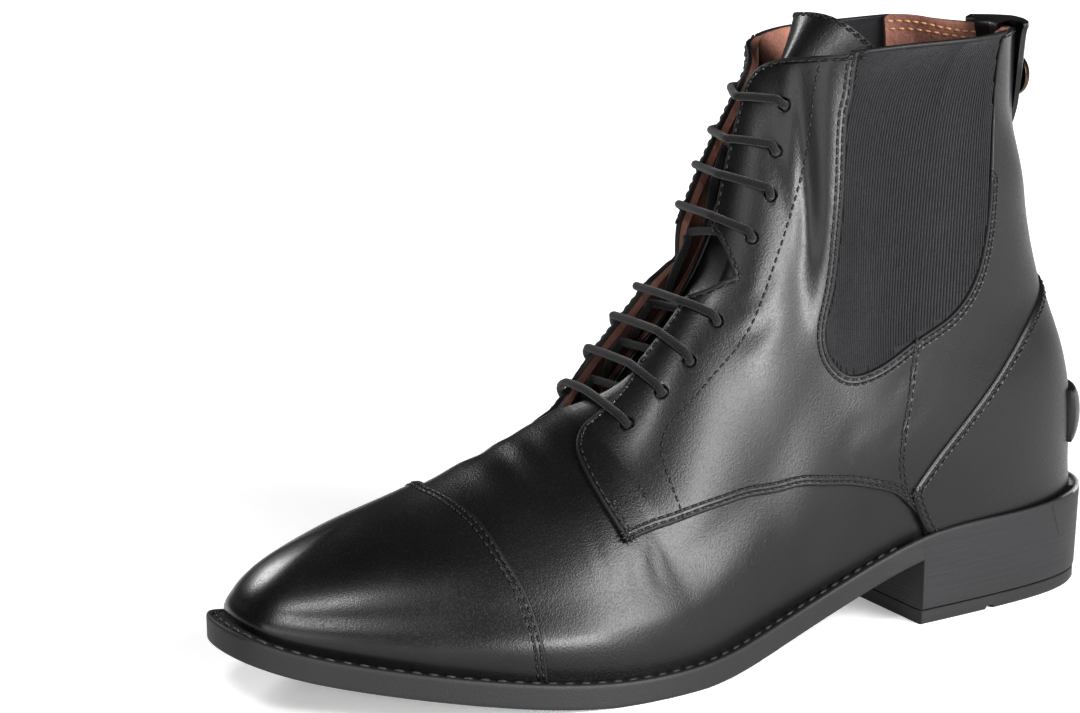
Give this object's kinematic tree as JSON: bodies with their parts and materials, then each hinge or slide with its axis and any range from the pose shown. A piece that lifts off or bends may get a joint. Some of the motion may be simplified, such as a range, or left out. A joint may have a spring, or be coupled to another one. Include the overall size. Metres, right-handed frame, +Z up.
{
  "type": "jodhpur boot",
  "caption": "Left lace-up jodhpur ankle boot in black leather with toe cap, elastic side gores, spur rest, snap tab at the back and a moulded heeled rubber sole.",
  "frame": {"origin": "on the floor, under the middle of the boot's bounding box", "axes": "-Y towards the toe, +X towards the outer (lateral) side, +Z up"},
  "size_m": [0.0984, 0.2937, 0.1853],
  "materials": {
    "leather": "smooth black, semi-gloss",
    "elastic": "ribbed charcoal elastic, matt",
    "rubber": "matt dark grey",
    "lining": "reddish brown lining, matt",
    "cord": "round black waxed cord",
    "metal": "dark bronze, polished"
  },
  "bodies": {
    "root": {"outsole": "rubber", "heel_top_piece": "rubber", "insole": "lining", "upper": "leather", "toe_cap": "leather", "quarter_lateral": "leather", "quarter_medial": "leather", "counter": "leather", "tongue": "leather", "welt": "leather", "spur_rest": "leather", "back_tab": "leather", "elastic_gore_lateral": "elastic", "elastic_gore_medial": "elastic", "lace_bar_1": "cord", "lace_bar_2": "cord", "lace_bar_3": "cord", "lace_bar_4": "cord", "lace_bar_5": "cord", "lace_bar_6": "cord", "lace_bar_7": "cord", "lace_bar_8": "cord", "snap_cap": "metal"}
  },
  "joints": []
}
